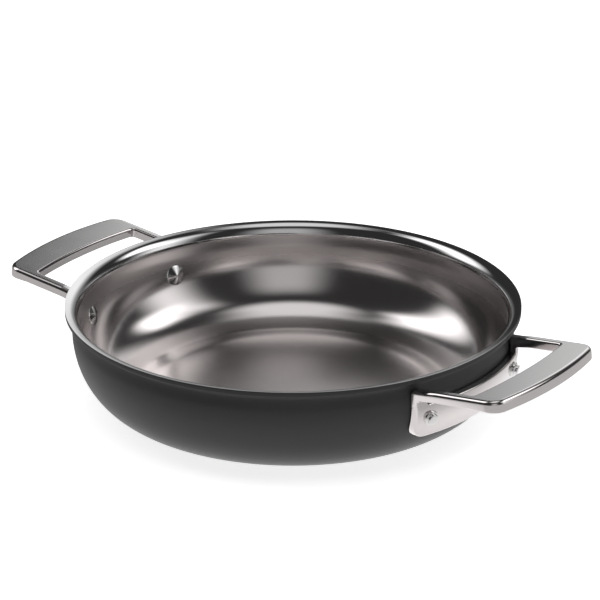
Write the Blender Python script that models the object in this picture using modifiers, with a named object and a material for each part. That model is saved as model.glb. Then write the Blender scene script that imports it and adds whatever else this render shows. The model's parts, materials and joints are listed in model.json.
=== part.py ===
"""A two-handled frying pan, in metres, standing on its flat base with +Z up.

The body is three bonded layers: a stainless lining that you cook on, an aluminium core, and a dark
anodised shell. Two cast loop handles lie along X, and each is held by two rivets through the wall.
All three layers come from one mould line, the outer face of the shell, so they stay nested when a
size changes. The handles and the rivets are seated on the same line.
"""

from math import acos, asin, atan2, cos, hypot, pi, radians, sin, sqrt, tan

import bmesh
import bpy
from mathutils import Matrix, Vector

# Body: the outer face, from the base up to the rim
rim_radius = 0.165
pan_height = 0.074
base_radius = 0.115
belly_height = 0.056
belly_bulge = 0.001
lip_hollow_radius = 0.005
lip_overhang = 0.001
rim_rounding = 0.0006

# Body: the layers of the wall
lining_thickness = 0.0006
core_thickness = 0.0014
shell_thickness = 0.0009
bond_gap = 0.0003

# Cast loop handle, seen from above. Reaches are measured from the rim, along the sloping loop.
loop_half_width = 0.0642
loop_reach = 0.0590
loop_bow_radius = 0.273
loop_corner_radius = 0.012
arm_width = 0.0080
window_reach = 0.0347
window_bow_radius = 0.252
window_corner_radius = 0.0030

# Cast loop handle, seen from the side
loop_height_at_rim = 0.0645
loop_slope = radians(6.4)
arm_depth = 0.0063
grip_depth = 0.0084
loop_edge_rounding = 0.0010
gusset_radius = 0.0042

# Mounting plate of the handle
plate_thickness = 0.0057
plate_bottom = 0.0262
plate_top = 0.0529
plate_taper = 0.0025
column_inset = 0.0002
plate_corner_radius = 0.0095
plate_notch_radius = 0.0030
plate_edge_rounding = 0.0008

# Rivets
rivet_end_distance = 0.0138
rivet_height = 0.0430
rivet_shank_radius = 0.0040
rivet_head_radius = 0.0076
rivet_head_edge = 0.0006
rivet_head_dome = 0.0017
rivet_collar_radius = 0.0055
rivet_collar_height = 0.0014
rivet_end_height = 0.0040
rivet_end_rounding = 0.0005

# Clearances between pieces that touch
seat_gap = 0.0003
hole_gap = 0.0003

# Facets
turn_steps = 60
side_steps = 6
neck_steps = 2
lip_steps = 3
corner_steps = 4
bow_steps = 8
rivet_steps = 16
head_steps = 3

# Sizes that follow from the ones above
wall_thickness = lining_thickness + core_thickness + shell_thickness + 2 * bond_gap
lip_height = pan_height - wall_thickness - lip_hollow_radius
neck_radius = rim_radius - lip_overhang - lip_hollow_radius
belly_radius = neck_radius + belly_bulge
rim_inner_radius = rim_radius - shell_thickness - bond_gap
plate_face = seat_gap + plate_thickness
window_half_width = loop_half_width - arm_width
plate_foot_half_width = loop_half_width - plate_taper


def clear_scene():
    """Removes whatever the file opened with."""
    for thing in list(bpy.data.objects):
        bpy.data.objects.remove(thing, do_unlink=True)


def new_collection(name):
    collection = bpy.data.collections.new(name)
    bpy.context.scene.collection.children.link(collection)
    return collection


def make_material(name, colour, roughness, metallic):
    material = bpy.data.materials.new(name)
    material.use_nodes = True
    shader = material.node_tree.nodes["Principled BSDF"]
    shader.inputs["Base Color"].default_value = (*colour, 1.0)
    shader.inputs["Roughness"].default_value = roughness
    shader.inputs["Metallic"].default_value = metallic
    return material


def add_object(name, data, collection):
    thing = bpy.data.objects.new(name, data)
    collection.objects.link(thing)
    return thing


def add_cutter(name, data, collection):
    """A cutter or a guide: a wire in the viewport, and never rendered."""
    cutter = add_object(name, data, collection)
    cutter.display_type = "WIRE"
    cutter.hide_render = True
    return cutter


def add_boolean(thing, operand, operation):
    boolean = thing.modifiers.new(f"{operation.lower()} {operand.name}", "BOOLEAN")
    boolean.operation = operation
    boolean.object = operand
    boolean.solver = "EXACT"


def add_bevel(thing, width, segments):
    """Rounds the hard edges and leaves the shallow ones between facets."""
    bevel = thing.modifiers.new("rounded edges", "BEVEL")
    bevel.width = width
    bevel.segments = segments
    bevel.limit_method = "ANGLE"
    bevel.angle_limit = radians(35)


def profile_mesh(name, points, closed=False):
    """A chain of edges in the XZ plane, ready for a Screw modifier."""
    mesh = bpy.data.meshes.new(name)
    chain = bmesh.new()
    corners = [chain.verts.new((radius, 0.0, height)) for radius, height in points]
    for start, end in zip(corners, corners[1:]):
        chain.edges.new((start, end))
    if closed:
        chain.edges.new((corners[-1], corners[0]))
    chain.to_mesh(mesh)
    chain.free()
    return mesh


def add_screw(thing, steps):
    screw = thing.modifiers.new("turned", "SCREW")
    screw.axis = "Z"
    screw.angle = 2 * pi
    screw.steps = steps
    screw.render_steps = steps
    screw.use_merge_vertices = True
    screw.merge_threshold = 0.00001
    screw.use_smooth_shade = True


def baked(thing, name):
    """The object's evaluated mesh under a new name, with its caps welded and smooth round faces."""
    bpy.context.view_layer.update()
    evaluated = thing.evaluated_get(bpy.context.evaluated_depsgraph_get())
    mesh = bpy.data.meshes.new_from_object(evaluated)
    mesh.name = name
    weld = bmesh.new()
    weld.from_mesh(mesh)
    bmesh.ops.remove_doubles(weld, verts=weld.verts, dist=0.00001)
    weld.to_mesh(mesh)
    weld.free()
    mesh.shade_smooth()
    mesh.set_sharp_from_angle(angle=radians(30))
    return mesh


def slab(name, outline, thickness, collection):
    """A flat outline in the XY plane given a thickness, centred on that plane, as a mesh guide."""
    curve = bpy.data.curves.new(name, "CURVE")
    curve.dimensions = "2D"
    curve.fill_mode = "BOTH"
    curve.extrude = thickness / 2
    spline = curve.splines.new("POLY")
    spline.points.add(len(outline) - 1)
    for point, (x, y) in zip(spline.points, outline):
        point.co = (x, y, 0.0, 1.0)
    spline.use_cyclic_u = True
    drawing = add_object(f"{name} drawing", curve, collection)
    mesh = baked(drawing, name)
    bpy.data.objects.remove(drawing, do_unlink=True)
    return add_cutter(name, mesh, collection)


# The mould line
def outer_face():
    """Points of the shell's outer face with their normals into the pan, from the centre of the base
    to the lip: a flat base, a quarter of an ellipse up to the belly, a slight neck, and the hollow
    under the flared lip."""
    line = [((0.0, 0.0), (0.0, 1.0))]
    across = belly_radius - base_radius
    for step in range(side_steps + 1):
        angle = radians(-90) + radians(90) * step / side_steps
        point = (base_radius + across * cos(angle), belly_height * (1 + sin(angle)))
        line.append((point, unit(-cos(angle) / across, -sin(angle) / belly_height)))
    for step in range(1, neck_steps):
        share = step / neck_steps
        drop = neck_radius - belly_radius
        point = (belly_radius + drop * share * share * (3 - 2 * share),
                 belly_height + (lip_height - belly_height) * share)
        slope = drop * 6 * share * (1 - share) / (lip_height - belly_height)
        line.append((point, unit(-1.0, slope)))
    for step in range(lip_steps + 1):
        angle = radians(180) - radians(90) * step / lip_steps
        point = (neck_radius + lip_hollow_radius * (1 + cos(angle)),
                 lip_height + lip_hollow_radius * sin(angle))
        line.append((point, (cos(angle), sin(angle))))
    return line


def unit(x, y):
    length = hypot(x, y)
    return (x / length, y / length)


def face_at(depth):
    """The mould line moved into the wall by a depth, or out of it by a negative one."""
    return [(radius + depth * out, height + depth * up)
            for (radius, height), (out, up) in outer_face()]


def wall_point(height):
    """Radius of the outer face at a height below the belly, and its slope from the vertical."""
    angle = asin(height / belly_height - 1)
    across = belly_radius - base_radius
    radius = base_radius + across * cos(angle)
    slope = atan2(sin(angle) / belly_height, cos(angle) / across)
    return radius, slope


# The three layers
def layer_profile(inner_depth, outer_depth):
    """A closed layer between two depths, cut off square inside the turned-up edge of the shell."""
    inner = face_at(inner_depth)
    outer = face_at(outer_depth)
    inner.append((rim_inner_radius, inner[-1][1]))
    outer.append((rim_inner_radius, outer[-1][1]))
    return inner + outer[::-1]


def shell_profile():
    """The shell turns up at the rim to cover the edges of the core and the lining."""
    inner = face_at(shell_thickness)
    outer = face_at(0.0)
    inner.append((rim_inner_radius + bond_gap, inner[-1][1]))
    inner.append((rim_inner_radius + bond_gap, pan_height))
    underside = outer[-1][1]
    edge = [(rim_radius - rim_rounding, pan_height), (rim_radius, pan_height - rim_rounding),
            (rim_radius, underside + rim_rounding), (rim_radius - rim_rounding, underside)]
    return inner + edge + outer[::-1]


def make_layer(name, profile, material, holes, collection):
    layer = add_object(name, profile_mesh(name, profile), collection)
    layer.data.materials.append(material)
    add_screw(layer, turn_steps)
    add_boolean(layer, holes, "DIFFERENCE")
    return layer


# Rivets and their holes
def rivet_places():
    """The name and the seat of each rivet. A seat's origin lies on the outer face of the wall, with
    its Z axis pointing straight out of the wall."""
    radius, slope = wall_point(rivet_height)
    angle = asin((loop_half_width - rivet_end_distance) / radius)
    places = []
    for side, turn in (("right", 0.0), ("left", pi)):
        for end, lean in (("front", -angle), ("rear", angle)):
            if side == "left":
                lean = -lean
            around = Matrix.Rotation(turn + lean, 4, "Z")
            out = Matrix.Translation((radius, 0.0, rivet_height)) @ Matrix.Rotation(
                pi / 2 - slope, 4, "Y")
            places.append((f"rivet_{side}_{end}", around @ out))
    return places


def make_hole_cutter(places, collection):
    """One peg for each rivet, wider than the shank by the hole's clearance."""
    pegs = bmesh.new()
    length = 4 * (wall_thickness + plate_face)
    radius = rivet_shank_radius + hole_gap
    for name, seat in places:
        bmesh.ops.create_cone(pegs, cap_ends=True, segments=rivet_steps, radius1=radius,
                              radius2=radius, depth=length, matrix=seat)
    mesh = bpy.data.meshes.new("rivet holes")
    pegs.to_mesh(mesh)
    pegs.free()
    return add_cutter("rivet holes", mesh, collection)


def shank_profile():
    """Half of the shank, turned about its own axis: the flat outer end, the collar formed on the
    plate, and the shank itself down into the head."""
    end = plate_face + rivet_end_height
    collar_seat = plate_face + seat_gap
    collar = collar_seat + rivet_collar_height
    return [(0.0, end),
            (rivet_shank_radius - rivet_end_rounding, end),
            (rivet_shank_radius, end - rivet_end_rounding),
            (rivet_shank_radius, collar),
            (rivet_collar_radius - rivet_end_rounding, collar),
            (rivet_collar_radius, collar - rivet_end_rounding),
            (rivet_collar_radius, collar_seat),
            (rivet_shank_radius, collar_seat),
            (rivet_shank_radius, head_rim() - rivet_head_dome / 2),
            (0.0, head_rim() - rivet_head_dome / 2)]


def head_rim():
    """Where the domed face of the head starts, clear of the hollow wall all round its edge."""
    curve = belly_height ** 2 / (belly_radius - base_radius) - wall_thickness
    hollow = curve - sqrt(curve ** 2 - rivet_head_radius ** 2)
    return -wall_thickness - seat_gap - hollow - rivet_head_edge


def head_profile():
    """Half of the low domed head, whose blank starts inside the wall until it is fitted to it."""
    rim = head_rim()
    points = [(0.0, -wall_thickness / 2), (rivet_head_radius, -wall_thickness / 2)]
    for step in range(head_steps):
        angle = radians(90) * step / head_steps
        points.append((rivet_head_radius * cos(angle), rim - rivet_head_dome * sin(angle)))
    points.append((0.0, rim - rivet_head_dome))
    return points


def make_rivet_mesh(seat, material, collection):
    """A rivet with its head fitted to the curve of the wall, modelled at one of the seats."""
    head = add_cutter("rivet head", profile_mesh("rivet head", head_profile()), collection)
    shank = add_cutter("rivet shank", profile_mesh("rivet shank", shank_profile()), collection)
    wall = layer_profile(wall_thickness + seat_gap, 0.0)
    wall_guide = add_cutter("wall at the head", profile_mesh("wall at the head", wall), collection)
    add_screw(wall_guide, turn_steps)
    for turned in (head, shank):
        add_screw(turned, rivet_steps)
        turned.matrix_world = seat
    add_boolean(head, wall_guide, "DIFFERENCE")
    add_boolean(head, shank, "UNION")
    mesh = baked(head, "rivet")
    mesh.materials.clear()
    mesh.materials.append(material)
    return mesh


# Cast loop handle
def corner_arc(before, corner, after, radius):
    """The rounding of one corner of an outline, as points on an arc."""
    back = (Vector(before) - Vector(corner)).normalized()
    ahead = (Vector(after) - Vector(corner)).normalized()
    half = acos(back.dot(ahead)) / 2
    centre = Vector(corner) + (back + ahead).normalized() * radius / sin(half)
    start = Vector(corner) + back * radius / tan(half) - centre
    end = Vector(corner) + ahead * radius / tan(half) - centre
    return arc_points(centre, start, end, corner_steps)


def arc_points(centre, start, end, steps):
    """Points from one spoke to another of a circle, the short way round."""
    first = atan2(start.y, start.x)
    sweep = (atan2(end.y, end.x) - first + pi) % (2 * pi) - pi
    radius = start.length
    return [(centre.x + radius * cos(first + sweep * step / steps),
             centre.y + radius * sin(first + sweep * step / steps)) for step in range(steps + 1)]


def bowed_end(half_width, reach, bow_radius, corner_radius):
    """The outer end of the loop or of its window: two straight sides at plus and minus half_width,
    joined by a shallow bow that passes through reach, with a rounding tangent to side and bow."""
    bow_centre = Vector((reach - bow_radius, 0.0))
    rise = half_width - corner_radius
    run = sqrt((bow_radius - corner_radius) ** 2 - rise * rise)
    corner_centre = bow_centre + Vector((run, rise))
    side_spoke = Vector((0.0, corner_radius))
    bow_spoke = Vector((run, rise)).normalized() * corner_radius
    corner = arc_points(corner_centre, side_spoke, bow_spoke, corner_steps)
    bow_start = corner_centre + bow_spoke - bow_centre
    bow_end = Vector((bow_start.x, -bow_start.y))
    bow = arc_points(bow_centre, bow_start, bow_end, bow_steps)
    mirrored = [(x, -y) for x, y in corner[::-1]]
    return corner + bow[1:-1] + mirrored


def make_loop(collection):
    """The flat loop: two arms and a wide grip, thicker under the grip, sloping up and outwards."""
    depth = grip_depth
    root = -2 * plate_corner_radius - plate_face
    outside = bowed_end(loop_half_width, loop_reach, loop_bow_radius, loop_corner_radius)
    inside = bowed_end(window_half_width, window_reach, window_bow_radius, window_corner_radius)
    outline = [(root, loop_half_width)] + outside + [(root, -loop_half_width)]
    outline += [(root, -window_half_width)] + inside[::-1] + [(root, window_half_width)]
    loop = slab("loop", outline, depth, collection)
    loop.location = (0.0, 0.0, -depth / 2)
    relief = make_underside_relief(root, collection)
    add_boolean(loop, relief, "DIFFERENCE")
    add_bevel(loop, loop_edge_rounding, 2)
    tilt = Matrix.Translation((rim_radius, 0.0, loop_height_at_rim)) @ Matrix.Rotation(
        -loop_slope, 4, "Y")
    relief.matrix_world = tilt @ relief.matrix_world
    loop.matrix_world = tilt @ loop.matrix_world
    return loop


def make_underside_relief(root, collection):
    """What is taken away below the arms, so that only the outer edge of the grip is full depth."""
    margin = grip_depth
    outline = [(root - margin, -arm_depth), (window_reach, -arm_depth),
               (loop_reach, -grip_depth), (loop_reach + margin, -grip_depth - margin),
               (root - margin, -grip_depth - margin)]
    relief = slab("underside relief", outline, 2 * (loop_half_width + margin), collection)
    relief.rotation_euler = (pi / 2, 0.0, 0.0)
    bpy.context.view_layer.update()
    return relief


def make_plate(collection):
    """The mounting plate: a thick turned wall, trimmed to its outline as seen from the front."""
    section = side_of_wall(-plate_face)[::-1] + side_of_wall(wall_thickness / 2)
    plate = add_cutter("plate", profile_mesh("plate", section, closed=True), collection)
    add_screw(plate, turn_steps)
    add_boolean(plate, make_plate_outline(collection), "INTERSECT")
    add_bevel(plate, plate_edge_rounding, 1)
    return plate


def side_of_wall(depth):
    """The curved side of the wall at a depth, cut off level at the height of the loop."""
    side = [(radius, height) for radius, height in face_at(depth) if 0.0 < height < lip_height]
    return side + [(side[-1][0], loop_height_at_rim)]


def make_plate_outline(collection):
    """The plate from the front: round lower corners, and a column at each end up to the arms."""
    column_top = loop_height_at_rim - arm_depth / 2 - tan(loop_slope) * plate_corner_radius
    wide = loop_half_width - column_inset
    narrow = window_half_width + column_inset
    foot = plate_foot_half_width
    corners = [((wide, column_top), 0.0), ((wide, plate_top), 0.0),
               ((foot, plate_bottom), plate_corner_radius),
               ((-foot, plate_bottom), plate_corner_radius),
               ((-wide, plate_top), 0.0), ((-wide, column_top), 0.0),
               ((-narrow, column_top), 0.0), ((-narrow, plate_top), plate_notch_radius),
               ((narrow, plate_top), plate_notch_radius), ((narrow, column_top), 0.0)]
    outline = []
    for index, (corner, radius) in enumerate(corners):
        if radius == 0.0:
            outline.append(corner)
            continue
        before = corners[index - 1][0]
        after = corners[(index + 1) % len(corners)][0]
        outline += corner_arc(before, corner, after, radius)
    stencil = slab("plate outline", outline, rim_radius, collection)
    stencil.matrix_world = Matrix.Translation((rim_radius, 0.0, 0.0)) @ Matrix(
        ((0, 0, 1, 0), (1, 0, 0, 0), (0, 1, 0, 0), (0, 0, 0, 1)))
    return stencil


def make_gussets(collection):
    """The rounded inner corners under the arms, one strip for each arm."""
    radius, slope = wall_point(plate_top)
    face = sqrt((radius + plate_face) ** 2 - loop_half_width ** 2)
    under = loop_height_at_rim - arm_depth - tan(loop_slope) * (rim_radius - face)
    buried = plate_thickness / 2
    width = loop_half_width - window_half_width - 2 * loop_edge_rounding
    outline = [(face - buried, under + buried)]
    outline += [(face + gusset_radius * (1 - cos(angle)), under - gusset_radius * (1 - sin(angle)))
                for angle in (radians(90) * step / corner_steps
                              for step in range(corner_steps, -1, -1))]
    outline[1] = (outline[1][0] + buried, outline[1][1] + buried)
    outline.append((face - buried, under - gusset_radius))
    gussets = []
    for side in (-1, 1):
        name = "front gusset" if side < 0 else "rear gusset"
        gusset = slab(name, outline, width, collection)
        middle = side * (loop_half_width + window_half_width) / 2
        gusset.matrix_world = Matrix.Translation((0.0, middle, 0.0)) @ Matrix.Rotation(
            pi / 2, 4, "X")
        gussets.append(gusset)
    return gussets


def make_wall_clearance(collection):
    """Everything up to the outer face of the wall, and the gap that a casting keeps to it."""
    solid = [(radius, height) for radius, height in face_at(-seat_gap)]
    top = [(0.0, pan_height), (solid[-1][0], pan_height)]
    cutter = add_cutter("wall clearance", profile_mesh("wall clearance", top + solid[::-1]),
                        collection)
    add_screw(cutter, turn_steps)
    return cutter


def casting_mesh(holes, material, collection):
    """One handle as cast: loop, plate and gussets in one body, fitted to the wall and drilled."""
    casting = add_cutter("casting", bpy.data.meshes.new("casting"), collection)
    plate = make_plate(collection)
    casting.data = baked(plate, "casting")
    add_boolean(casting, make_loop(collection), "UNION")
    for gusset in make_gussets(collection):
        add_boolean(casting, gusset, "UNION")
    add_boolean(casting, make_wall_clearance(collection), "DIFFERENCE")
    add_boolean(casting, holes, "DIFFERENCE")
    mesh = baked(casting, "handle casting")
    mesh.materials.clear()
    mesh.materials.append(material)
    return mesh


def main():
    clear_scene()
    pan = new_collection("two_handled_frying_pan")
    cutters = new_collection("cutters")

    satin_steel = make_material("satin steel", (0.62, 0.60, 0.58), 0.32, 1.0)
    cast_steel = make_material("cast steel", (0.66, 0.65, 0.63), 0.28, 1.0)
    bright_steel = make_material("bright steel", (0.72, 0.71, 0.69), 0.12, 1.0)
    aluminium = make_material("aluminium", (0.76, 0.76, 0.77), 0.40, 1.0)
    anodised = make_material("dark anodised", (0.045, 0.045, 0.046), 0.48, 0.3)

    places = rivet_places()
    holes = make_hole_cutter(places, cutters)

    core_depth = shell_thickness + bond_gap
    lining_depth = core_depth + core_thickness + bond_gap
    make_layer("anodised_shell", shell_profile(), anodised, holes, pan)
    make_layer("aluminium_core", layer_profile(core_depth + core_thickness, core_depth),
               aluminium, holes, pan)
    make_layer("steel_lining", layer_profile(wall_thickness, lining_depth),
               satin_steel, holes, pan)

    casting = casting_mesh(holes, cast_steel, cutters)
    for name, turn in (("handle_right", 0.0), ("handle_left", pi)):
        handle = add_object(name, casting, pan)
        handle.rotation_euler = (0.0, 0.0, turn)

    rivet_mesh = make_rivet_mesh(places[0][1], bright_steel, cutters)
    for name, seat in places:
        rivet = add_object(name, rivet_mesh, pan)
        rivet.matrix_world = seat


main()
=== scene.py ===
# %% [markdown]
# # A two-handled frying pan
#
# This lesson builds a shallow frying pan with two cast loop handles, as it looks in a product
# photograph: a dark anodised body, a satin steel lining with a polished pouring lip, and bright
# rivets. The solids of the pan come from a CAD model, which has the right sizes, but plainer
# shapes and flat colours. Here each visible piece gets a finer shape that stays inside the pan's
# size, and a procedural finish. The CAD model is loaded first.

import json
from math import acos, asin, atan2, cos, degrees, hypot, pi, radians, sin, sqrt

import bpy
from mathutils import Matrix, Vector

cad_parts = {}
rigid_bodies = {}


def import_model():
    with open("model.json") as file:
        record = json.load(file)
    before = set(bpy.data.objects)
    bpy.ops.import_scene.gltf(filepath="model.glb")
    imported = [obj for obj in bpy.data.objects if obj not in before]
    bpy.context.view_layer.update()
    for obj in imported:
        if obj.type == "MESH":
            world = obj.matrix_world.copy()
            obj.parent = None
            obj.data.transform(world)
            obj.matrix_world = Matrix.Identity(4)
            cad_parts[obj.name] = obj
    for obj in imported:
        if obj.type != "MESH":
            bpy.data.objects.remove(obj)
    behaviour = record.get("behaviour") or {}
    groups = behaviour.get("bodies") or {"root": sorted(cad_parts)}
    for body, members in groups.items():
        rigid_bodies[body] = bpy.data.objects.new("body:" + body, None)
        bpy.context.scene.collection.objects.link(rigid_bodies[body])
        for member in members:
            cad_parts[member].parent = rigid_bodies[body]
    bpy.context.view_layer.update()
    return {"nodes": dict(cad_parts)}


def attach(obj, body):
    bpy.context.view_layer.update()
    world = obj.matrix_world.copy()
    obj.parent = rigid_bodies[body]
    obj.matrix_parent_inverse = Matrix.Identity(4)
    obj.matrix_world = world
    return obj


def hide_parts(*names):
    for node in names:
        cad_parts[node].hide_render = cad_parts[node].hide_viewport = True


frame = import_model()
print("CAD nodes:", sorted(frame["nodes"]))

# %% [markdown]
# ## Working by hand, in code
#
# All of this could be clicked with a mouse. It is written with the same operators instead, so that
# it can be run again with other sizes. An operator acts on whatever is selected, and the CAD nodes
# arrive selected. So each step starts with a helper that deselects everything, and leaves edit
# mode when it is done.

# %% Helpers for edit mode
def only(thing):
    """Deselects everything and makes one object the active one."""
    for other in bpy.context.view_layer.objects:
        other.select_set(False)
    thing.select_set(True)
    bpy.context.view_layer.objects.active = thing


def edit(thing):
    """Opens one object in edit mode."""
    only(thing)
    bpy.ops.object.mode_set(mode="EDIT")


def leave_edit():
    """Goes back to object mode, where a mesh can be read."""
    bpy.ops.object.mode_set(mode="OBJECT")


def apply_modifiers(thing):
    """Makes the modifiers of an object part of its mesh."""
    only(thing)
    for modifier in list(thing.modifiers):
        bpy.ops.object.modifier_apply(modifier=modifier.name)


def count(thing):
    """Prints how large a mesh has become."""
    triangles = sum(len(face.vertices) - 2 for face in thing.data.polygons)
    print(f"{thing.name}: {len(thing.data.vertices)} points, {triangles} triangles")


# %% [markdown]
# ## The sizes of the body
#
# The pan is 330 mm across its rim and 74 mm high. Its wall has three layers, dark aluminium
# outside, plain aluminium in the middle and steel inside, with a thin bond line between them. One
# thick bowl with painted sides would be quicker. The layers are separate pieces here, as on the
# real pan, so that each has its own finish and its own edge at the rim.

# %% Sizes of the body, in metres
rim_radius = 0.165
pan_height = 0.074
base_radius = 0.115
belly_radius = 0.160
belly_height = 0.056
neck_radius = 0.159
lip_hollow_radius = 0.005
lining_thickness = 0.0006
core_thickness = 0.0014
shell_thickness = 0.0009
bond_gap = 0.0003
wall_thickness = lining_thickness + core_thickness + shell_thickness + 2 * bond_gap
lip_height = pan_height - wall_thickness - lip_hollow_radius
rim_inner_radius = rim_radius - shell_thickness - bond_gap
print(f"wall {wall_thickness * 1000:.1f} mm thick, lip from a height of {lip_height * 1000:.1f} mm")

# %% [markdown]
# ## The mould line
#
# A pan is pressed from a flat disc over a mould, so every layer of its wall follows one line, from
# the centre of the base up to the rim. The line could be drawn as a spline, but formulas keep its
# curves true: a flat base, a quarter of an ellipse for the side, a slight neck, and a hollow
# quarter round under the flared lip. Each point comes with its normal, so a layer at any depth in
# the wall is the same line moved along its normals. Round the foot of the wall the inner face is
# filled out a little, which makes the curve inside easier than the one outside.

# %% The base and the side, as points with normals into the pan
foot_radius = 0.125
foot_reach = 0.022


def unit(x, y):
    length = hypot(x, y)
    return (x / length, y / length)


def base_points(steps=8):
    """The flat base, with more points where the foot of the wall begins."""
    flat = foot_radius - foot_reach
    radii = [0.0, base_radius / 2]
    radii += [flat + (base_radius - flat) * step / steps for step in range(steps)]
    return [((radius, 0.0), (0.0, 1.0)) for radius in radii]


def side_points(steps=72):
    """A quarter of an ellipse, from the base up to the belly."""
    across = belly_radius - base_radius
    points = []
    for step in range(steps + 1):
        angle = radians(-90) + radians(90) * step / steps
        place = (base_radius + across * cos(angle), belly_height * (1 + sin(angle)))
        points.append((place, unit(-cos(angle) / across, -sin(angle) / belly_height)))
    return points


# %% The neck and the lip
def neck_points(steps=6):
    """A slight narrowing between the belly and the lip."""
    drop = neck_radius - belly_radius
    rise = lip_height - belly_height
    points = []
    for step in range(1, steps):
        share = step / steps
        place = (belly_radius + drop * share * share * (3 - 2 * share), belly_height + rise * share)
        points.append((place, unit(-1.0, drop * 6 * share * (1 - share) / rise)))
    return points


def lip_points(steps=14):
    """A hollow quarter round, from the neck out to the rim."""
    points = []
    for step in range(steps + 1):
        angle = radians(180) - radians(90) * step / steps
        place = (neck_radius + lip_hollow_radius * (1 + cos(angle)),
                 lip_height + lip_hollow_radius * sin(angle))
        points.append((place, (cos(angle), sin(angle))))
    return points


mould_line = base_points() + side_points() + neck_points() + lip_points()
print(f"mould line: {len(mould_line)} points")


# %% The mould line at a depth in the wall
def line_at(depth, fill=0.0):
    """The mould line moved inwards by a depth, and by up to a fill more round the foot."""
    line = []
    for (radius, height), (out, up) in mould_line:
        share = min(abs(radius + depth * out - foot_radius) / foot_reach, 1.0)
        deep = depth + fill * (1 + cos(pi * share)) / 2
        line.append((radius + deep * out, height + deep * up))
    return line


# %% [markdown]
# ## Turning a profile
#
# A pressed pan is round, so its layers are turned: half of the section is drawn as a chain of
# points, and the Spin operator carries it round the upright axis. The chain starts as a plane
# merged to one point, and grows by extruding that point. A Screw modifier would do the same, but
# Spin leaves a plain mesh that can be checked at once: a negative volume means inside out.

# %% A chain of points
def chain(name, points):
    """An object in edit mode that holds the points, joined in a row."""
    bpy.ops.mesh.primitive_plane_add(size=0.01)
    piece = bpy.context.object
    piece.name = name
    piece.data.name = name
    edit(piece)
    bpy.ops.mesh.select_mode(type="VERT")
    bpy.ops.mesh.select_all(action="SELECT")
    bpy.ops.mesh.merge(type="CENTER")
    bpy.ops.transform.translate(value=points[0])
    for here, there in zip(points, points[1:]):
        move = [end - start for start, end in zip(here, there)]
        bpy.ops.mesh.extrude_vertices_move(TRANSFORM_OT_translate={"value": move})
    return piece


# %% A turned piece
merge_distance = 0.000005


def volume(piece):
    """The volume inside the faces, which is negative where they point inwards."""
    return sum(face.center.dot(face.normal) * face.area for face in piece.data.polygons) / 3


def turned(name, section, steps=240, crease=radians(40)):
    """A closed solid of revolution about the upright axis, from points (radius, height)."""
    piece = chain(name, [(radius, 0.0, height) for radius, height in section])
    bpy.ops.mesh.select_all(action="SELECT")
    bpy.ops.mesh.spin(steps=steps, angle=2 * pi, center=(0, 0, 0), axis=(0, 0, 1))
    bpy.ops.mesh.select_all(action="SELECT")
    bpy.ops.mesh.remove_doubles(threshold=merge_distance)
    bpy.ops.mesh.normals_make_consistent(inside=False)
    leave_edit()
    if volume(piece) < 0:
        edit(piece)
        bpy.ops.mesh.select_all(action="SELECT")
        bpy.ops.mesh.flip_normals()
        leave_edit()
    print(f"{name}: {volume(piece) * 1e6:.1f} cubic centimetres")
    only(piece)
    bpy.ops.object.shade_smooth_by_angle(angle=crease)
    count(piece)
    return piece


# %% [markdown]
# ## The anodised shell
#
# The outside of the pan is aluminium with a hard anodised skin. At the rim it turns up round the
# edges of the other layers, and ends just under a thin flange of the lining. The corners of that
# edge are slightly rounded, because a sharp one would chip. A bevel on the finished piece could
# round them too, but corners drawn in the section are exact and need no modifier.

# %% The shell, turned
def rounded_corner(corner, start, radius, steps=4):
    """A quarter round at a corner of the section, clockwise from the given start angle."""
    centre = (corner[0] - radius * (cos(start) + cos(start - pi / 2)),
              corner[1] - radius * (sin(start) + sin(start - pi / 2)))
    angles = [start - pi / 2 * step / steps for step in range(steps + 1)]
    return [(centre[0] + radius * cos(angle), centre[1] + radius * sin(angle)) for angle in angles]


flange_thickness = 0.00015
flange_clearance = 0.00005
rim_rounding = 0.0004
edge_rounding = 0.00025
shell_top = pan_height - flange_thickness - flange_clearance
shell_inside = line_at(shell_thickness)
shell_outside = line_at(0.0)
lip_underside = shell_outside[-1][1]
edge_inside = rim_inner_radius + bond_gap
shell_section = shell_inside + [(edge_inside, shell_inside[-1][1])]
shell_section += rounded_corner((edge_inside, shell_top), pi, edge_rounding, steps=2)
shell_section += rounded_corner((rim_radius, shell_top), pi / 2, rim_rounding)
shell_section += rounded_corner((rim_radius, lip_underside), 0.0, rim_rounding)
shell_section += shell_outside[::-1]
shell = turned("shell", shell_section)

# %% [markdown]
# ## The steel lining
#
# The lining is the face that you cook on. It ends in the polished lip, whose thin flange covers the
# edge of the shell. The last points of the mould line are left out here, so that the lip still
# rises at its very edge. A level edge would be simpler, but as a mirror it would show the same part
# of the room all round, and the real lip is bright on one side and dark on the other.

# %% The lining, turned
foot_fill = 0.0020
flange_edge = 0.00003
points_left_out = 3
lining_inside = line_at(wall_thickness, foot_fill)
lining_outside = line_at(wall_thickness - lining_thickness)
lining_section = lining_inside[:-points_left_out]
lining_section += [(rim_radius, pan_height), (rim_radius, pan_height - flange_edge),
                   (rim_inner_radius, pan_height - flange_thickness),
                   (rim_inner_radius, lining_outside[-1][1])] + lining_outside[::-1]
lining = turned("lining", lining_section)

# %% [markdown]
# ## The cast loop handle
#
# Each handle is one investment casting in stainless steel: a mounting plate that follows the curve
# of the wall, and a flat loop that stands out from it, with two slim arms and a wide grip.
#
# A curved plate is hard to round neatly, so the casting is first modelled flat, where every face is
# level or upright: the loop is an outline with a thickness, its two roots are pulled down into
# columns, and the plate is bridged between the columns. All edges are rounded there, with clean
# results. Only then is the plate bent on to the wall and the loop tilted, point by point.

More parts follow.
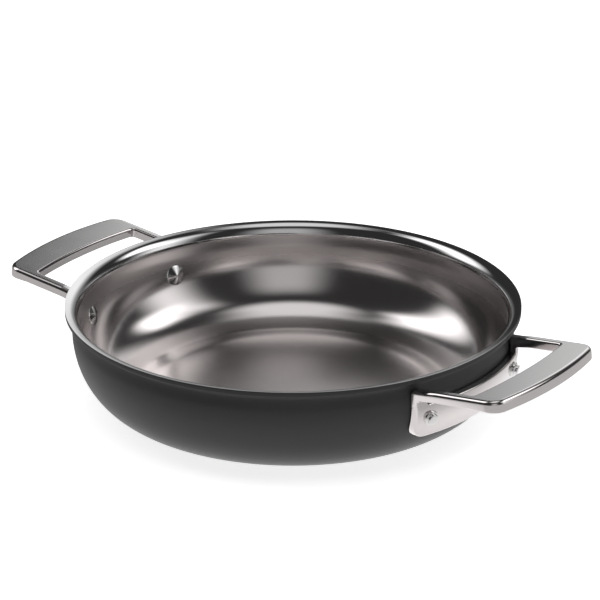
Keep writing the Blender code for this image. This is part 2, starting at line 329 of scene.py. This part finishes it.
# %% Sizes of the loop seen from above, in metres, measured from the rim
loop_half_width = 0.0642
loop_reach = 0.0590
loop_bow_radius = 0.273
loop_corner_radius = 0.012
arm_width = 0.0080
window_half_width = loop_half_width - arm_width
window_reach = 0.0327
window_bow_radius = 0.367
window_corner_radius = 0.0030
plate_thickness = 0.0057
root_front = -0.0104
root_back = root_front - plate_thickness
print(f"loop {loop_half_width * 2000:.0f} mm wide, on a plate {plate_thickness * 1000:.1f} mm thick")

# %% [markdown]
# ### The outline of the loop
#
# Seen from above, the loop has two straight arms and a grip that bows outwards, with a rounding at
# each corner. The window inside it has the same kind of outline, with a straighter bow and tight
# corners. Both could be traced freehand. Here they are built from arcs that are tangent to each
# other, as in a technical drawing, so that their bright edges have no kinks.

# %% Arcs, and the bowed end that loop and window share
def arc(centre, start, end, steps):
    """Points from one spoke of a circle to another, the short way round."""
    first = atan2(start.y, start.x)
    sweep = (atan2(end.y, end.x) - first + pi) % (2 * pi) - pi
    angles = [first + sweep * step / steps for step in range(steps + 1)]
    return [(centre.x + start.length * cos(angle), centre.y + start.length * sin(angle))
            for angle in angles]


def bowed_end(half_width, reach, bow_radius, corner_radius, corner_steps, bow_steps=40):
    """Two straight sides joined by a shallow bow, with a rounding tangent to both."""
    bow_centre = Vector((reach - bow_radius, 0.0))
    rise = half_width - corner_radius
    run = sqrt((bow_radius - corner_radius) ** 2 - rise * rise)
    corner_centre = bow_centre + Vector((run, rise))
    bow_spoke = Vector((run, rise)).normalized() * corner_radius
    corner = arc(corner_centre, Vector((0.0, corner_radius)), bow_spoke, corner_steps)
    bow_start = corner_centre + bow_spoke - bow_centre
    bow = arc(bow_centre, bow_start, Vector((bow_start.x, -bow_start.y)), bow_steps)
    return corner + bow[1:-1] + [(x, -y) for x, y in corner[::-1]]


# %% The outline, once round the outside and back round the window
outside = bowed_end(loop_half_width, loop_reach, loop_bow_radius, loop_corner_radius,
                    corner_steps=16)
inside = bowed_end(window_half_width, window_reach, window_bow_radius, window_corner_radius,
                   corner_steps=8)
outline = [(root_back, loop_half_width)] + outside + [(root_back, -loop_half_width)]
outline += [(root_back, -window_half_width)] + inside[::-1] + [(root_back, window_half_width)]
print(f"outline of the loop: {len(outline)} points")

# %% [markdown]
# ### Tools for the flat model
#
# The outline is drawn as a chain of points too, then filled and given its thickness. After that,
# the faces and edges to work on have to be picked. By hand that takes the mouse. In code they are
# found by their place or their normal, which keeps working when a size is changed.

# %% A flat outline given a thickness
def slab(name, flat_outline, thickness):
    """A flat outline of points (x, y), filled and extruded down."""
    piece = chain(name, [(x, y, 0.0) for x, y in flat_outline])
    bpy.ops.mesh.select_all(action="SELECT")
    bpy.ops.mesh.edge_face_add()
    bpy.ops.mesh.extrude_region_move(TRANSFORM_OT_translate={"value": (0.0, 0.0, -thickness)})
    bpy.ops.mesh.select_all(action="SELECT")
    bpy.ops.mesh.normals_make_consistent(inside=False)
    return piece


# %% Selecting by place
same_place = 0.00002


def near(value, target):
    return abs(value - target) < same_place


def start_selecting(piece, kind):
    """Deselects all of the mesh, and leaves edit mode so that its points can be read and picked."""
    edit(piece)
    bpy.ops.mesh.select_mode(type=kind)
    bpy.ops.mesh.select_all(action="DESELECT")
    leave_edit()


def select_points(piece, test):
    """Selects the points whose place passes the test, and nothing else."""
    start_selecting(piece, "VERT")
    for point in piece.data.vertices:
        point.select = test(point.co)
    edit(piece)


def select_faces(piece, test):
    """Selects the faces whose centre and normal pass the test."""
    start_selecting(piece, "FACE")
    for face in piece.data.polygons:
        face.select = test(face.center, face.normal)
    edit(piece)


def select_edges(piece, test):
    """Selects the edges whose two ends pass the test."""
    start_selecting(piece, "EDGE")
    points = piece.data.vertices
    for edge in piece.data.edges:
        edge.select = test(points[edge.vertices[0]].co, points[edge.vertices[1]].co)
    edit(piece)


# %% Cutting
def cut(where, normal):
    """Cuts the mesh in edit mode along a plane, and keeps both sides."""
    bpy.ops.mesh.select_all(action="SELECT")
    bpy.ops.mesh.bisect(plane_co=where, plane_no=normal)


# %% [markdown]
# ### The flat casting
#
# The grip is deeper than the arms, so that it fills the hand. A cut across the loop lets the
# underside of the grip turn down like a flap. Then the back ends of the arms are pulled down as
# columns, and their facing sides are bridged to make the plate. A subdivision surface could be
# pulled into this shape too, but it would make the flat faces swell.
#
# At the end, faces that lie flat against each other are merged. The limit for that is less than
# what a bow turns at each of its points, so the outline keeps them all.

# %% The flat loop, deeper along the outer edge of its grip
arm_depth = 0.0074
grip_depth = 0.0095
casting = slab("casting", outline, arm_depth)
cut((root_front, 0, 0), (1, 0, 0))
cut((window_reach, 0, 0), (1, 0, 0))
select_points(casting, lambda place: near(place.z, -arm_depth)
              and place.x > window_reach and not near(place.x, window_reach))
deepening = atan2(grip_depth - arm_depth, loop_reach - window_reach)
bpy.ops.transform.rotate(value=-deepening, orient_axis="Y",
                         center_override=(window_reach, 0.0, -arm_depth))
print(f"underside of the grip turned down by {degrees(deepening):.1f} degrees")

# %% Heights of the loop and the plate, in metres
loop_height_at_rim = 0.0664
loop_slope = radians(6.4)
root_middle = (root_front + root_back) / 2
root_height = loop_height_at_rim + root_middle * sin(loop_slope)
plate_bottom = 0.0262
plate_top = 0.0529
plate_taper = 0.0025
flat_top = plate_top - root_height
flat_bottom = plate_bottom - root_height
print(f"roots {root_height * 1000:.1f} mm up, plate {(plate_top - plate_bottom) * 1000:.1f} mm high")

# %% Columns pulled down from the roots, and the plate bridged between them
mostly = 0.9
column = root_height - plate_top - arm_depth
select_faces(casting, lambda centre, normal: normal.z < -mostly and centre.x < root_front)
bpy.ops.mesh.extrude_region_move(TRANSFORM_OT_translate={"value": (0, 0, -column)})
bpy.ops.mesh.extrude_region_move(TRANSFORM_OT_translate={"value": (0, 0, plate_bottom - plate_top)})
select_faces(casting, lambda centre, normal: centre.z < flat_top
             and abs(normal.y) > mostly and near(abs(centre.y), window_half_width))
bpy.ops.mesh.bridge_edge_loops()
select_points(casting, lambda place: near(place.z, flat_bottom)
              and near(abs(place.y), loop_half_width))
bpy.ops.transform.resize(value=(1, 1 - plate_taper / loop_half_width, 1), center_override=(0, 0, 0))
bpy.ops.mesh.select_all(action="SELECT")
bpy.ops.mesh.dissolve_limited(angle_limit=radians(0.2))
leave_edit()
count(casting)

# %% [markdown]
# ### Roundings
#
# A casting has no sharp edge. The plate has large round corners, the arms meet it in small fillets,
# and the top edges of the loop are rounded more than the others, where a hand lies on them. One
# Bevel modifier would give them all the same radius. So those edges are bevelled first, each with
# its own radius, and the modifier then takes what is still sharp.

# %% Round corners of the plate, and fillets under the arms
plate_corner_radius = 0.0095
plate_notch_radius = 0.0022
arm_fillet = 0.0014
foot_half_width = loop_half_width - plate_taper


def round_edges(radius, segments, test):
    """Rounds the edges whose two ends pass the test on the same side of the casting."""
    select_edges(casting, lambda a, b: test(a) and test(b) and a.y * b.y > 0)
    bpy.ops.mesh.bevel(offset=radius, segments=segments, clamp_overlap=False)


round_edges(plate_corner_radius, segments=12,
            test=lambda place: near(place.z, flat_bottom) and near(abs(place.y), foot_half_width))
round_edges(plate_notch_radius, segments=6,
            test=lambda place: near(place.z, flat_top) and near(abs(place.y), window_half_width))
round_edges(arm_fillet, segments=6,
            test=lambda place: near(place.z, -arm_depth) and near(place.x, root_front))
leave_edit()
count(casting)

# %% The top edges of the loop
outer_rounding = 0.0030
window_rounding = 0.0018


def round_top_edge(radius, half_width, bowed):
    """Rounds the top edge along an outline: its two straight sides and its bowed end."""
    def on_edge(place):
        return near(place.z, 0) and (near(abs(place.y), half_width) or any(
            near(place.x, x) and near(place.y, y) for x, y in bowed))
    select_edges(casting, lambda a, b: on_edge(a) and on_edge(b))
    bpy.ops.mesh.bevel(offset=radius, segments=8, clamp_overlap=False)


round_top_edge(outer_rounding, loop_half_width, outside)
round_top_edge(window_rounding, window_half_width, inside)
leave_edit()
count(casting)

# %% One rounding all round the casting
edge_radius = 0.0011
casting.data.update()
only(casting)
rounding = casting.modifiers.new("rounded edges", "BEVEL")
rounding.width = edge_radius
rounding.segments = 4
rounding.limit_method = "ANGLE"
rounding.angle_limit = radians(40)
rounding.use_clamp_overlap = False
apply_modifiers(casting)
count(casting)

# %% [markdown]
# ### Bending the casting on to the pan
#
# The flat model now gets the curves of the real one. Fine cuts give the plate enough points to
# bend. Each point of the plate keeps its height and its place along the pan, and moves in until it
# stands as far from the curved wall as it stood from the flat back. Each point of the loop is
# turned about the rim by the slope. Between the two, along the roots of the arms, the two places
# are blended. A Shrinkwrap modifier could lay one face on the wall, but not the whole thickness.

# %% Fine cuts across the parts that bend
plate_cuts = 44
height_cuts = 14
root_cuts = 6
edit(casting)
for index in range(1, plate_cuts):
    cut((0, foot_half_width * (2 * index / plate_cuts - 1), 0), (0, 1, 0))
for index in range(1, height_cuts):
    cut((0, 0, flat_bottom + (flat_top - flat_bottom) * index / height_cuts), (0, 0, 1))
for index in range(1, root_cuts + 1):
    cut((root_front * (1 - index / root_cuts) + edge_radius, 0, 0), (1, 0, 0))
leave_edit()
count(casting)

# %% Where each flat point belongs on the pan
seat_gap = 0.0003
root_dip = 0.0007
root_dip_length = 0.013


def wall_radius(height):
    """Radius of the outer face of the wall at a height, and the cosine of its slope."""
    if height >= belly_height:
        return belly_radius, 1.0
    sine = height / belly_height - 1
    across = belly_radius - base_radius
    radius = base_radius + across * sqrt(1 - sine * sine)
    return radius, cos(atan2(sine / belly_height, sqrt(1 - sine * sine) / across))


def soft(share):
    """A share from 0 to 1 that starts and ends gently."""
    share = min(max(share, 0.0), 1.0)
    return share * share * (3 - 2 * share)


def on_loop(flat):
    """The loop turned about the rim, with the tops of its roots dipping a little to the wall."""
    x = rim_radius + flat.x * cos(loop_slope) - flat.z * sin(loop_slope)
    z = loop_height_at_rim + flat.x * sin(loop_slope) + flat.z * cos(loop_slope)
    dip = root_dip * soft((root_front + root_dip_length - flat.x) / root_dip_length)
    return Vector((x, flat.y, z - dip))


def on_wall(flat, height):
    """The point as far out from the curved wall as it is from the flat back of the casting."""
    radius, lean = wall_radius(height)
    radius += (flat.x - root_back + seat_gap) / lean
    return Vector((sqrt(radius * radius - flat.y * flat.y), flat.y, height))


# %% The casting bent, point by point
for point in casting.data.vertices:
    flat = point.co.copy()
    looped = on_loop(flat)
    level = soft((flat.z - flat_top) / (-arm_depth - flat_top))
    height = (flat.z + root_height) * (1 - level) + looped.z * level
    walled = on_wall(flat, height)
    free = soft((flat.x - root_front) / -root_front)
    place = walled * (1 - free) + looped * free
    point.co = Vector((place.x, flat.y, height if free < 1 else looped.z))
casting.data.update()
handle_low = min(point.co.z for point in casting.data.vertices)
handle_reach = max(point.co.x for point in casting.data.vertices)
print(f"handle from height {handle_low:.4f}, reaching out to {handle_reach:.4f}")

# %% [markdown]
# ### Even shading, and the second handle
#
# The large faces of the casting are ground flat and reflect evenly. Smooth shading mixes the
# directions of neighbouring faces, so a large flat next to a small rounding would look dented. More
# faces could hide that, but weighting the normals by the size of the faces needs none. The other
# handle is the same casting, turned half way round the pan.

# %% Even shading: large faces decide the normals
only(casting)
bpy.ops.object.shade_smooth_by_angle(angle=radians(50))
flats = casting.modifiers.new("flat faces stay flat", "WEIGHTED_NORMAL")
flats.mode = "FACE_AREA"
flats.weight = 60
flats.keep_sharp = True
apply_modifiers(casting)


# %% The second handle
def copied(piece, name, turn):
    """A copy with its own mesh, turned about the upright axis through the middle of the pan."""
    only(piece)
    bpy.ops.object.duplicate(linked=False)
    twin = bpy.context.object
    twin.name = name
    twin.data.name = name
    twin.rotation_euler.z = turn
    bpy.ops.object.transform_apply(location=False, rotation=True, scale=False)
    return twin


casting.name = casting.data.name = "loop_handle_right"
casting_left = copied(casting, "loop_handle_left", pi)
count(casting_left)

# %% [markdown]
# ## The rivets
#
# Two solid steel rivets hold each handle. Inside the pan a rivet ends in a wide, very flat cone.
# Outside, its end is pressed down over a collar on the plate. Cylinders and a cone could be joined
# for that. A rivet is round about its own axis, though, so it is turned like the pan, lying along
# Z, which gives all of its edges their roundings. Then it is carried to its place, where its axis
# stands square to the sloping wall.

# %% Sizes of a rivet, in metres, along its axis from the outer face of the wall
shank_radius = 0.0040
head_radius = 0.0077
head_rise = 0.0024
head_edge = 0.0002
collar_radius = 0.0055
collar_height = 0.0014
collar_sink = 0.0002
end_height = 0.0040
end_chamfer = 0.0003
rivet_rounding = 0.0005
wall_curve_radius = belly_height ** 2 / (belly_radius - base_radius)
head_hollow = head_radius ** 2 / (2 * wall_curve_radius)
head_rim = -(wall_thickness + head_hollow / 2 + head_edge)
head_top = head_rim - head_rise
plate_face = seat_gap + plate_thickness
rivet_end = plate_face + end_height
collar_top = plate_face + seat_gap + collar_height
collar_bottom = plate_face - collar_sink
print(f"rivet {(rivet_end - head_top) * 1000:.1f} mm long, head {head_radius * 2000:.1f} mm across")

# %% A rivet, turned
cone_bulge = 1.15
cone_start = 0.95
cone_steps = 12
rivet_section = [(0.0, rivet_end), (shank_radius / 2, rivet_end)]
rivet_section += rounded_corner((shank_radius, rivet_end), pi / 2, rivet_rounding)
rivet_section += [(shank_radius, collar_top + end_chamfer), (shank_radius + end_chamfer, collar_top)]
rivet_section += rounded_corner((collar_radius, collar_top), pi / 2, rivet_rounding)
rivet_section += [(collar_radius, collar_bottom), (shank_radius, collar_bottom)]
rivet_section += [(shank_radius, -wall_thickness / 2), (head_radius, -wall_thickness / 2)]
rivet_section += rounded_corner((head_radius, head_rim), 0.0, head_edge)[:-1]
for step in range(cone_steps):
    share = cone_start * (1 - step / cone_steps)
    rivet_section.append((head_radius * share, head_rim - head_rise * (1 - share ** cone_bulge)))
rivet_section.append((0.0, head_top))
rivet = turned("rivet", rivet_section, steps=72, crease=radians(35))

# %% The rivet carried to its four places
rivet_end_distance = 0.0138
rivet_height = 0.0430
seat_radius, seat_lean = wall_radius(rivet_height)
spread = asin((loop_half_width - rivet_end_distance) / seat_radius)
rivet.location = (seat_radius, 0.0, rivet_height)
rivet.rotation_euler = (0.0, pi / 2 + acos(seat_lean), 0.0)
only(rivet)
bpy.ops.object.transform_apply(location=True, rotation=True, scale=False)
rivets = {
    "rivet_right_front": copied(rivet, "pressed_rivet_right_front", -spread),
    "rivet_right_rear": copied(rivet, "pressed_rivet_right_rear", spread),
    "rivet_left_front": copied(rivet, "pressed_rivet_left_front", pi + spread),
    "rivet_left_rear": copied(rivet, "pressed_rivet_left_rear", pi - spread)}
bpy.data.objects.remove(rivet)

# %% [markdown]
# ## Fitting the pieces to the CAD frame
#
# Each finer piece takes the place of its CAD node. The core of the wall is hidden between its
# neighbours, so a finer one would never be seen, and its CAD solid stays as it is. Nothing on a
# riveted pan moves, so every piece rides on the root.

# %% What each piece replaces and rides on
fittings = [(shell, "anodised_shell", "dark_anodised"),
            (lining, "steel_lining", "satin_steel"),
            (casting, "handle_right", "cast_steel"),
            (casting_left, "handle_left", "cast_steel")]
fittings += [(piece, node, "bright_steel") for node, piece in rivets.items()]
for piece, node, slot in fittings:
    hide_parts(node)
    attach(piece, "root")
    print(f"{piece.name} stands for {node}")

# %% [markdown]
# ## Finishes
#
# A finish is a web of nodes. It could be wired up in the shader editor, but here it is written as
# sums, which can be read in one line. The small class below wraps a socket, so that an expression
# such as `1 - mask * 0.3` adds the Math nodes it needs. Any other node comes from one method.

# %% Numbers in a finish
class Number:
    """A number on its way through a finish."""

    def __init__(self, finish, socket):
        self.finish = finish
        self.socket = socket

    def __add__(self, other):
        return self.finish.math("ADD", self, other)

    def __radd__(self, other):
        return self.finish.math("ADD", other, self)

    def __sub__(self, other):
        return self.finish.math("SUBTRACT", self, other)

    def __rsub__(self, other):
        return self.finish.math("SUBTRACT", other, self)

    def __mul__(self, other):
        return self.finish.math("MULTIPLY", self, other)

    def __rmul__(self, other):
        return self.finish.math("MULTIPLY", other, self)

    def __truediv__(self, other):
        return self.finish.math("DIVIDE", self, other)

    def __pow__(self, other):
        return self.finish.math("POWER", self, other)

    def __abs__(self):
        return self.finish.math("ABSOLUTE", self)

    def step(self, start, end):
        """0 up to the start, 1 from the end on, and soft between them."""
        return self.finish.number(self.finish.node(
            "MapRange", {"interpolation_type": "SMOOTHSTEP"},
            {"Value": self, "From Min": start, "From Max": end}))


# %% A finish and its nodes
class Finish:
    """A material around one Principled BSDF, or the light of the room around one Background."""

    def __init__(self, name, kind="materials", shader="Principled BSDF"):
        self.owner = getattr(bpy.data, kind).new(name)
        self.owner.use_nodes = True
        self.tree = self.owner.node_tree
        self.shader = self.tree.nodes[shader]

    def feed(self, socket, value):
        """Links a number or a socket to a socket, or writes a plain value on it."""
        if isinstance(value, Number):
            value = value.socket
        if isinstance(value, bpy.types.NodeSocket):
            self.tree.links.new(value, socket)
        else:
            socket.default_value = value

    def node(self, kind, settings=None, inputs=None):
        """Any node, from its type, its settings and what its sockets get."""
        node = self.tree.nodes.new("ShaderNode" + kind)
        for setting, value in (settings or {}).items():
            setattr(node, setting, value)
        for socket, value in (inputs or {}).items():
            self.feed(node.inputs[socket], value)
        return node

    def number(self, node, output=0):
        return Number(self, node.outputs[output])

    def math(self, operation, first, second=0.0):
        return self.number(self.node("Math", {"operation": operation}, {0: first, 1: second}))

    def coordinates(self, kind):
        """One of the vectors of the Texture Coordinate node, such as the place on the object."""
        return self.node("TexCoord").outputs[kind]

    def parts(self, vector):
        """The three numbers of a vector."""
        split = self.node("SeparateXYZ", inputs={0: vector})
        return [self.number(split, index) for index in range(3)]

    def noise(self, vector, scale, detail=2.0, roughness=0.5):
        return self.number(self.node("TexNoise", inputs={
            "Vector": vector, "Scale": scale, "Detail": detail, "Roughness": roughness}))

    def mixed(self, factor, first, second):
        """A colour between two. A Mix node has its colours on inputs 6 and 7 and output 2."""
        node = self.node("Mix", {"data_type": "RGBA"}, {0: factor, 6: first, 7: second})
        return node.outputs[2]

    def bump(self, height, strength, distance):
        return self.node("Bump", inputs={"Strength": strength, "Distance": distance,
                                         "Height": height}).outputs[0]

    def set(self, **sockets):
        """Feeds sockets of the shader, named with _ for each space."""
        for socket, value in sockets.items():
            self.feed(self.shader.inputs[socket.replace("_", " ")], value)

    def on(self, *pieces):
        """Gives the material to the pieces."""
        for piece in pieces:
            piece.data.materials.clear()
            piece.data.materials.append(self.owner)
        print(f"{self.owner.name}: {len(self.tree.nodes)} nodes, on {len(pieces)} pieces")


def colour(red, green, blue):
    return (red, green, blue, 1.0)


# %% [markdown]
# ### Dark anodised aluminium
#
# Hard anodising is an even, charcoal grey skin with a very fine grain, which spreads highlights
# widely. A metallic finish in a dark colour would look like tinted chrome. The skin isn't bare
# metal, so it gets a dark colour, no metallic look and a fine bump. Where the pan rests, it is
# scuffed a little lighter.

# %% Dark anodised aluminium
anodised = Finish("dark anodised aluminium")
spot = anodised.coordinates("Object")
grain = anodised.noise(spot, scale=900.0, detail=3.0, roughness=0.6)
cloud = anodised.noise(spot, scale=22.0, detail=3.0)
rubbed = anodised.noise(spot, scale=260.0, detail=4.0, roughness=0.7).step(start=0.48, end=0.64)
resting = 1 - anodised.parts(spot)[2].step(start=0.0002, end=0.0016)
scuffs = rubbed * resting
skin = anodised.mixed(cloud, colour(0.024, 0.024, 0.0245), colour(0.029, 0.029, 0.0295))
anodised.set(
    Metallic=0.0,
    Base_Color=anodised.mixed(scuffs, skin, colour(0.075, 0.075, 0.078)),
    Roughness=0.40 + 0.10 * grain + 0.06 * cloud + 0.10 * scuffs,
    Normal=anodised.bump(grain, strength=0.20, distance=0.00008))
anodised.on(shell)

# %% [markdown]
# ### Satin steel with a polished lip
#
# The lining is brushed round and round, so its fine lines follow the radius and the height. The
# upper wall and the floor of the pan are duller than the foot between them. The middle of the floor
# is painted lighter, a painted highlight that brightens its reflection, and the lip is polished.
# Each zone could have a material of its own. One material with soft masks is used, because the real
# lining is one sheet and its zones have no borders.

# %% The zones and the lines of the lining
satin = Finish("satin steel with a polished lip")
spot = satin.coordinates("Object")
x, y, z = satin.parts(spot)
radius = (x * x + y * y) ** 0.5
lip = z.step(start=lip_height - 0.0002, end=lip_height + 0.0006)
upper = z.step(start=0.038, end=belly_height)
# A painted highlight: the middle of the floor gets a lighter steel, which brightens its reflection.
painted_bright_floor = 1 - radius.step(start=0.075, end=0.112)
dull = 1 - radius.step(start=0.085, end=0.128)
in_millimetres = {0: radius * 1000.0, 1: z * 1000.0, 2: 0.0}
across_lines = satin.node("CombineXYZ", inputs=in_millimetres).outputs[0]
lines = satin.noise(across_lines, scale=2.4, detail=4.0, roughness=0.7)
cloud = satin.noise(spot, scale=26.0, detail=3.0)
print(f"zones and lines of the lining: {len(satin.tree.nodes)} nodes")

# %% Satin steel with a polished lip
brushing = 0.4 * cloud + 0.6 * lines
steel = satin.mixed(brushing, colour(0.665, 0.63, 0.625), colour(0.73, 0.695, 0.69))
# The lighter steel in the middle of the floor is a painted highlight.
steel = satin.mixed(painted_bright_floor, steel, colour(0.90, 0.86, 0.85))
satin_roughness = 0.12 + 0.04 * lines + 0.02 * cloud + 0.08 * dull + 0.17 * upper
satin.set(
    Metallic=1.0,
    Base_Color=satin.mixed(lip, steel, colour(0.67, 0.67, 0.67)),
    Roughness=satin_roughness * (1 - lip) + 0.08 * lip,
    Normal=satin.bump(lines * (1 - lip), strength=0.05, distance=0.0001))
satin.on(lining)

# %% [markdown]
# ### Cast steel
#
# The handles are satin on their level tops, and tumbled bright round the edges and on the sides.
# The tops could be picked face by face and given a second material. A mask from the normal finds
# them too, and it fades over the rounded edges as polishing does. The same mask also paints the
# sides and edges a darker, warmer steel than the tops, which is painted shade by facing.

# %% Cast steel, satin on the level tops and polished round the edges, with painted shade on the sides
cast = Finish("cast steel")
spot = cast.coordinates("Object")
grain = cast.noise(spot, scale=700.0)
cloud = cast.noise(spot, scale=45.0)
# Painted shade: the sides and rounded edges get a darker, warmer steel than the level tops.
level = cast.parts(cast.coordinates("Normal"))[2].step(start=0.955, end=0.985)
painted_lighter_top = cast.mixed(cloud, colour(0.715, 0.71, 0.705), colour(0.76, 0.755, 0.75))
cast.set(
    Metallic=1.0,
    Base_Color=cast.mixed(level, colour(0.71, 0.67, 0.667), painted_lighter_top),
    Roughness=0.07 + 0.03 * grain + 0.03 * cloud + 0.09 * level,
    Normal=cast.bump(grain, strength=0.03, distance=0.00003))
cast.on(casting, casting_left)

# %% [markdown]
# ### Bright steel
#
# The rivets are turned and polished, so they are almost mirrors. A perfect mirror would be one
# flat value, but it looks like glass. Hair-fine scratches, written as a very fine noise in colour,
# roughness and bump, keep it metal.

# %% Bright steel of the rivets
bright = Finish("bright steel")
scratches = bright.noise(bright.coordinates("Object"), scale=1500.0, detail=3.0)
bright.set(
    Metallic=1.0,
    Base_Color=bright.mixed(scratches, colour(0.70, 0.69, 0.68), colour(0.78, 0.775, 0.77)),
    Roughness=0.02 + 0.04 * scratches,
    Normal=bright.bump(scratches, strength=0.02, distance=0.00002))
bright.on(*rivets.values())

# %% [markdown]
# ### Plain aluminium
#
# The core of the wall is rolled aluminium, dull and a little uneven. It is hidden, and the colour
# of its CAD solid would do. It still gets a finish, because the pieces may be shown one by one.

# %% Plain aluminium of the core
core = Finish("plain aluminium")
rolled = core.noise(core.coordinates("Object"), scale=300.0, detail=3.0)
core.set(
    Metallic=1.0,
    Base_Color=core.mixed(rolled, colour(0.60, 0.60, 0.61), colour(0.70, 0.70, 0.71)),
    Roughness=0.35 + 0.15 * rolled,
    Normal=core.bump(rolled, strength=0.05, distance=0.00005))
core.on(frame["nodes"]["aluminium_core"])

# %% [markdown]
# ## The floor
#
# The pan stands on white paper. Bright lamps could make the paper white, but they would bleach the
# steel as well. So the paper glows a little by itself and still takes a soft shadow. Steel mirrors
# the paper too. The glow that it mirrors is painted: a pool of light painted strong under the pan,
# fading away from it, with painted shade behind it. The studio stands at an angle to the line
# of the handles, so its directions are turned by studio_turn.

# %% The floor, just under the base
floor_radius = 6.0
floor_height = -0.0002
bpy.ops.mesh.primitive_circle_add(vertices=64, radius=floor_radius, fill_type="NGON",
                                  location=(0, 0, floor_height))
floor = bpy.context.object
floor.name = "floor"
print(f"floor {floor_radius * 2:.0f} m across")

# %% The paper
studio_turn = radians(36.23)
paper = Finish("white paper")
spot = paper.coordinates("Object")
x, y = paper.parts(spot)[:2]
fibres = paper.noise(spot, scale=60.0)
from_middle = (x * x + y * y) ** 0.5
# A painted pool of light under the pan, fading away from it, and painted shade behind it, in the
# glow that steel mirrors.
under = 1 - from_middle.step(start=0.12, end=0.17)
away = from_middle.step(start=0.18, end=0.26)
behind = (y * cos(studio_turn) - x * sin(studio_turn)).step(start=0.0, end=0.12)
paper.set(
    Base_Color=paper.mixed(fibres, colour(0.80, 0.80, 0.80), colour(0.82, 0.82, 0.82)),
    Roughness=0.9)
print(f"paper without its glow: {len(paper.tree.nodes)} nodes")

# %% The glow of the paper, for each kind of ray
glow_strength = 0.6
camera_share = 1.3
painted_pool_share = 1.5
# What steel mirrors of the paper: the painted pool of light and the painted shade behind the pan.
painted_glow_for_steel = (1 - away) * (1 - behind) + under * painted_pool_share
rays = paper.node("LightPath")
seen = (paper.number(rays, "Is Camera Ray") * camera_share
        + paper.number(rays, "Is Glossy Ray") * painted_glow_for_steel
        + paper.number(rays, "Is Transmission Ray"))
glow = paper.node("Emission", inputs={"Color": colour(1, 1, 1), "Strength": glow_strength * seen})
blend = paper.node("AddShader", inputs={0: paper.shader.outputs[0], 1: glow.outputs[0]})
paper.feed(paper.tree.nodes["Material Output"].inputs["Surface"], blend.outputs[0])
paper.on(floor)

# %% [markdown]
# ## The light of the studio
#
# Steel shows what stands around it, so the light is designed as a picture all round the pan: one
# soft panel overhead, a bright one on the left and on the right, a greyer one at the back and
# behind the camera, and dim gaps between them, which give the steel its contrast. Area lamps would
# do it too, but a panel written as a sum of the direction can have any outline and soft edges. The
# directions are in degrees: how far round from the back of the pan, and how high.

# %% The directions in the picture of the room
room = Finish("studio", kind="worlds", shader="Background")
bpy.context.scene.world = room.owner
east, north, up = room.parts(room.coordinates("Generated"))
right = east * cos(studio_turn) + north * sin(studio_turn)
back = north * cos(studio_turn) - east * sin(studio_turn)
height = room.math("ARCSINE", up) * degrees(1)
around = room.math("ARCTAN2", right, back) * degrees(1)
around_front = room.math("ARCTAN2", 0 - right, 0 - back) * degrees(1)
from_top = (right * right + back * back) ** 0.5 / room.math("MAXIMUM", up, 0.01)
print(f"directions: {len(room.tree.nodes)} nodes")


# %% The panels on the left and the right
def between(value, rise, fall):
    """1 between two soft edges, each given as the angles where it starts and ends."""
    return value.step(*rise) * (1 - value.step(*fall))


left_edge = around - (height - 30.0) * 0.56
left_panel = (around.step(-96, -74) * (1 - left_edge.step(-69, -39))
              * between(height, rise=(6, 23), fall=(53, 67)))
right_edge = around + (height - 35.0) * 0.87
right_height = height - (around - 60.0) * 0.23
right_panel = (between(right_edge, rise=(56, 74), fall=(84, 118))
               * between(right_height, rise=(17, 30), fall=(46, 57)))
right_grey_panel = between(around, rise=(79, 104), fall=(104, 130)) * (1 - height.step(47, 67))
print(f"side panels: {len(room.tree.nodes)} nodes")

# %% The panels at the back, behind the camera and overhead
back_edge = around - (height - 29.0) * 0.20
back_panel = (back_edge.step(0, 4) * (1 - around.step(15, 47))
              * between(height, rise=(0, 26), fall=(26, 52)))
front_panel = between(around_front, rise=(-35, -9), fall=(1, 27)) * (1 - height.step(32, 60))
overhead_edge = from_top * (1 - 0.53 * (1 - abs(around).step(0, 56)))
overhead_panel = 1 - overhead_edge.step(start=0.16, end=0.45)
haze = (1 - height.step(0, 15)) * (1 - abs(around).step(43, 98))
print(f"all panels: {len(room.tree.nodes)} nodes")

# %% The panels lit, and a white background for the camera
gap_light = 0.034
light = gap_light
for panel, brightness in ((left_panel, 1.95), (right_panel, 1.95), (right_grey_panel, 1.11),
                          (back_panel, 1.20), (front_panel, 0.50), (overhead_panel, 0.89),
                          (haze, 0.18)):
    light = light + panel * brightness
seen_by_camera = room.number(room.node("LightPath"), "Is Camera Ray")
room.set(Color=colour(1, 1, 1), Strength=light * (1 - seen_by_camera) + seen_by_camera)
print(f"studio: {len(room.tree.nodes)} nodes")

# %% [markdown]
# ## A fill lamp
#
# The dark body and the paper need more light than the steel does. Brighter panels would bleach the
# steel, so a wide, weak lamp hangs above the pan, hidden from reflections.

# %% The fill lamp
fill = bpy.data.lights.new("fill", "AREA")
fill.shape = "DISK"
fill.size = 1.6
fill.energy = 9.0
fill_lamp = bpy.data.objects.new("fill", fill)
bpy.context.scene.collection.objects.link(fill_lamp)
fill_lamp.location = (0.0, 0.0, 1.6)
fill_lamp.visible_glossy = False
fill_lamp.visible_camera = False
print(f"fill lamp of {fill.energy:.0f} W, {fill.size} m across")

# %% [markdown]
# ## The camera
#
# The photograph looks down on the pan from its front. A near camera with a short lens would frame
# it as well, but would swell the near handle. A long lens from far away keeps the rim an even
# ellipse, as it is in the photograph.

# %% The camera
view = bpy.data.cameras.new("camera")
view.lens = 207.0
view.sensor_width = 36.0
camera = bpy.data.objects.new("camera", view)
bpy.context.scene.collection.objects.link(camera)
camera.location = (1.36593, -1.86427, 1.01446)
camera.rotation_euler = (radians(67.877), 0.0, radians(36.106))
bpy.context.scene.camera = camera
bpy.context.scene.view_settings.view_transform = "Standard"
print(f"camera {Vector(camera.location).length:.2f} m from the middle of the base")
